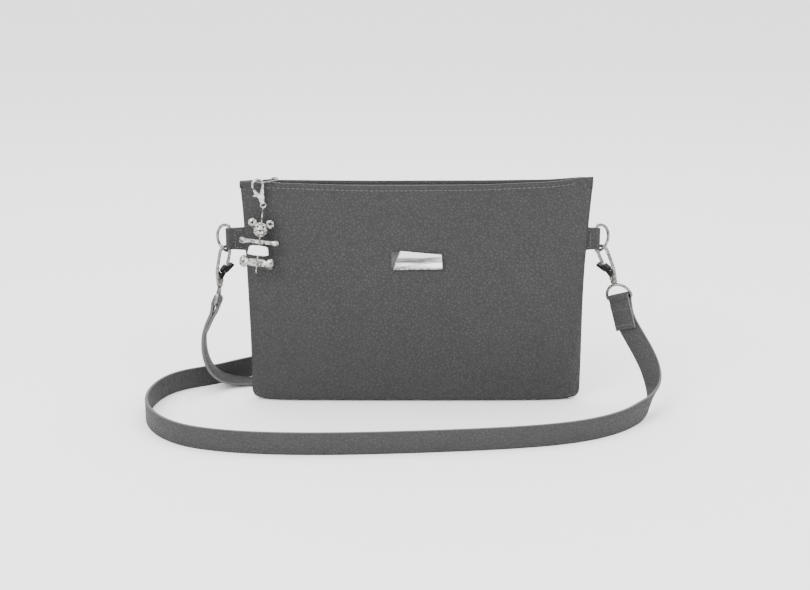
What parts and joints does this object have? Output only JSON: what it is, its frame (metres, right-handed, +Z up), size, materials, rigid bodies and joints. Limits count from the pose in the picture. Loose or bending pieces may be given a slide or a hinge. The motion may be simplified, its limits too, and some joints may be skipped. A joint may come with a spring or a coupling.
{
  "type": "crossbody clutch bag",
  "caption": "Small flat zip-top leather clutch with a detachable strap on swivel snap hooks, a folded metal trim plate and a bear charm on the zip.",
  "frame": {"origin": "middle of the bag's flat base, where the front and back panels meet at floor level", "axes": "+X to the right seen from the front, along the bag's width; +Y from front to back; +Z up to the zip"},
  "size_m": [0.3671, 0.2318, 0.1652],
  "materials": {
    "bag_leather": "fine pebbled grain, matt dark grey",
    "strap_leather": "pebbled dark grey, paler cut edges",
    "lining_cloth": "plain black woven lining",
    "zip_cloth": "black woven zip tape",
    "zip_nylon": "dark grey nylon coil",
    "nickel": "pewter-coloured plated zinc",
    "gunmetal": "dark plated zinc",
    "spring_steel": "bare spring wire",
    "bright_silver": "polished light silver plate",
    "antique_silver": "antiqued silver, dark in the hollows",
    "white_bead": "glossy white acrylic"
  },
  "bodies": {
    "bag": {"front_panel": "bag_leather", "back_panel": "bag_leather", "lining_front": "lining_cloth", "lining_back": "lining_cloth", "zip_tape_front": "zip_cloth", "zip_tape_back": "zip_cloth", "zip_coil_front": "zip_nylon", "zip_coil_back": "zip_nylon", "zip_end_tab_left": "bag_leather", "zip_end_tab_right": "bag_leather", "side_tab_left": "bag_leather", "side_tab_right": "bag_leather", "trim_plate": "bright_silver", "trim_base": "bright_silver", "trim_washer": "nickel", "strap": "strap_leather"},
    "slider": {"zip_slider": "nickel"},
    "pull": {"zip_pull": "nickel"},
    "clasp": {"clasp_body": "bright_silver", "clasp_rivet": "bright_silver", "clasp_spring": "spring_steel"},
    "lever": {"clasp_lever": "bright_silver"},
    "pin": {"charm_pin": "antique_silver"},
    "head": {"bear_head": "antique_silver"},
    "arms": {"bear_arms": "antique_silver"},
    "bead": {"bear_body": "white_bead"},
    "legs": {"bear_legs": "antique_silver"},
    "ring_left": {"d_ring_left": "nickel"},
    "hook_left": {"hook_frame_left": "nickel", "hook_rivet_left": "nickel", "trigger_spring_left": "spring_steel"},
    "trigger_left": {"trigger_left": "gunmetal"},
    "swivel_left": {"swivel_loop_left": "nickel"},
    "ring_right": {"d_ring_right": "nickel"},
    "hook_right": {"hook_frame_right": "nickel", "hook_rivet_right": "nickel", "trigger_spring_right": "spring_steel"},
    "trigger_right": {"trigger_right": "gunmetal"},
    "swivel_right": {"swivel_loop_right": "nickel"}
  },
  "joints": [
    {"name": "slider_travel", "type": "slide", "parent": "bag", "child": "slider", "axis": [1, 0, 0], "range_m": [0, 0.19], "deforming": ["zip_coil_front", "zip_coil_back"]},
    {"name": "pull_flip", "type": "hinge", "parent": "slider", "child": "pull", "pos_m": [-0.0993, 0, 0.16245], "axis": [-0.6691, 0.7431, 0], "range_deg": [0, 110]},
    {"name": "clasp_swing", "type": "hinge", "parent": "pull", "child": "clasp", "pos_m": [-0.11119, -0.01071, 0.16245], "axis": [-0.6691, 0.7431, 0], "range_deg": [0, 40]},
    {"name": "clasp_lever_press", "type": "hinge", "parent": "clasp", "child": "lever", "pos_m": [-0.1091, -0.00995, 0.15105], "axis": [-0.342, 0.9397, 0], "range_deg": [0, 22], "stiffness_Nm_per_rad": 0.004, "springref_deg": -22.92, "deforming": ["clasp_spring"]},
    {"name": "charm_sway", "type": "hinge", "parent": "clasp", "child": "pin", "pos_m": [-0.10735, -0.00931, 0.14555], "axis": [0, 1, 0], "range_deg": [-12, 25]},
    {"name": "head_turn", "type": "hinge", "parent": "pin", "child": "head", "pos_m": [-0.10755, -0.00968, 0.14385], "axis": [-0.1121, -0.2156, -0.97], "range_deg": [-20, 20]},
    {"name": "arms_turn", "type": "hinge", "parent": "pin", "child": "arms", "pos_m": [-0.10755, -0.00968, 0.14385], "axis": [-0.1121, -0.2156, -0.97], "range_deg": [-12, 12]},
    {"name": "bead_turn", "type": "hinge", "parent": "pin", "child": "bead", "pos_m": [-0.10755, -0.00968, 0.14385], "axis": [-0.1121, -0.2156, -0.97], "range_deg": [-15, 15]},
    {"name": "legs_turn", "type": "hinge", "parent": "pin", "child": "legs", "pos_m": [-0.10755, -0.00968, 0.14385], "axis": [-0.1121, -0.2156, -0.97], "range_deg": [-9, 9]},
    {"name": "ring_swing_left", "type": "hinge", "parent": "bag", "child": "ring_left", "pos_m": [-0.133, 0, 0.12], "axis": [0, 0, 1], "range_deg": [-30, 60], "deforming": ["strap"]},
    {"name": "hook_swing_left", "type": "hinge", "parent": "ring_left", "child": "hook_left", "pos_m": [-0.13676, 0.00315, 0.1108], "axis": [-0.7502, 0.6295, 0.2025], "range_deg": [-6, 20], "deforming": ["strap"]},
    {"name": "trigger_press_left", "type": "hinge", "parent": "hook_left", "child": "trigger_left", "pos_m": [-0.13875, 0.00534, 0.09532], "axis": [-0.6048, 0.7741, 0.187], "range_deg": [0, 35], "stiffness_Nm_per_rad": 0.01, "springref_deg": -22.92, "deforming": ["trigger_spring_left"]},
    {"name": "swivel_turn_left", "type": "hinge", "parent": "hook_left", "child": "swivel_left", "pos_m": [-0.13676, 0.00315, 0.1108], "axis": [-0.1908, 0.0872, -0.9778], "continuous": true, "deforming": ["strap"]},
    {"name": "ring_swing_right", "type": "hinge", "parent": "bag", "child": "ring_right", "pos_m": [0.1285, 0, 0.12], "axis": [0, 0, 1], "range_deg": [-60, 30], "deforming": ["strap"]},
    {"name": "hook_swing_right", "type": "hinge", "parent": "ring_right", "child": "hook_right", "pos_m": [0.13323, 0.00397, 0.11115], "axis": [0.721, 0.605, 0.3378], "range_deg": [-20, 20], "deforming": ["strap"]},
    {"name": "trigger_press_right", "type": "hinge", "parent": "hook_right", "child": "trigger_right", "pos_m": [0.13818, 0.00592, 0.09632], "axis": [-0.5882, -0.7529, -0.2951], "range_deg": [0, 35], "stiffness_Nm_per_rad": 0.01, "springref_deg": -22.92, "deforming": ["trigger_spring_right"]},
    {"name": "swivel_turn_right", "type": "hinge", "parent": "hook_right", "child": "swivel_right", "pos_m": [0.13323, 0.00397, 0.11115], "axis": [0.3746, 0.0698, -0.9246], "continuous": true, "deforming": ["strap"]}
  ]
}
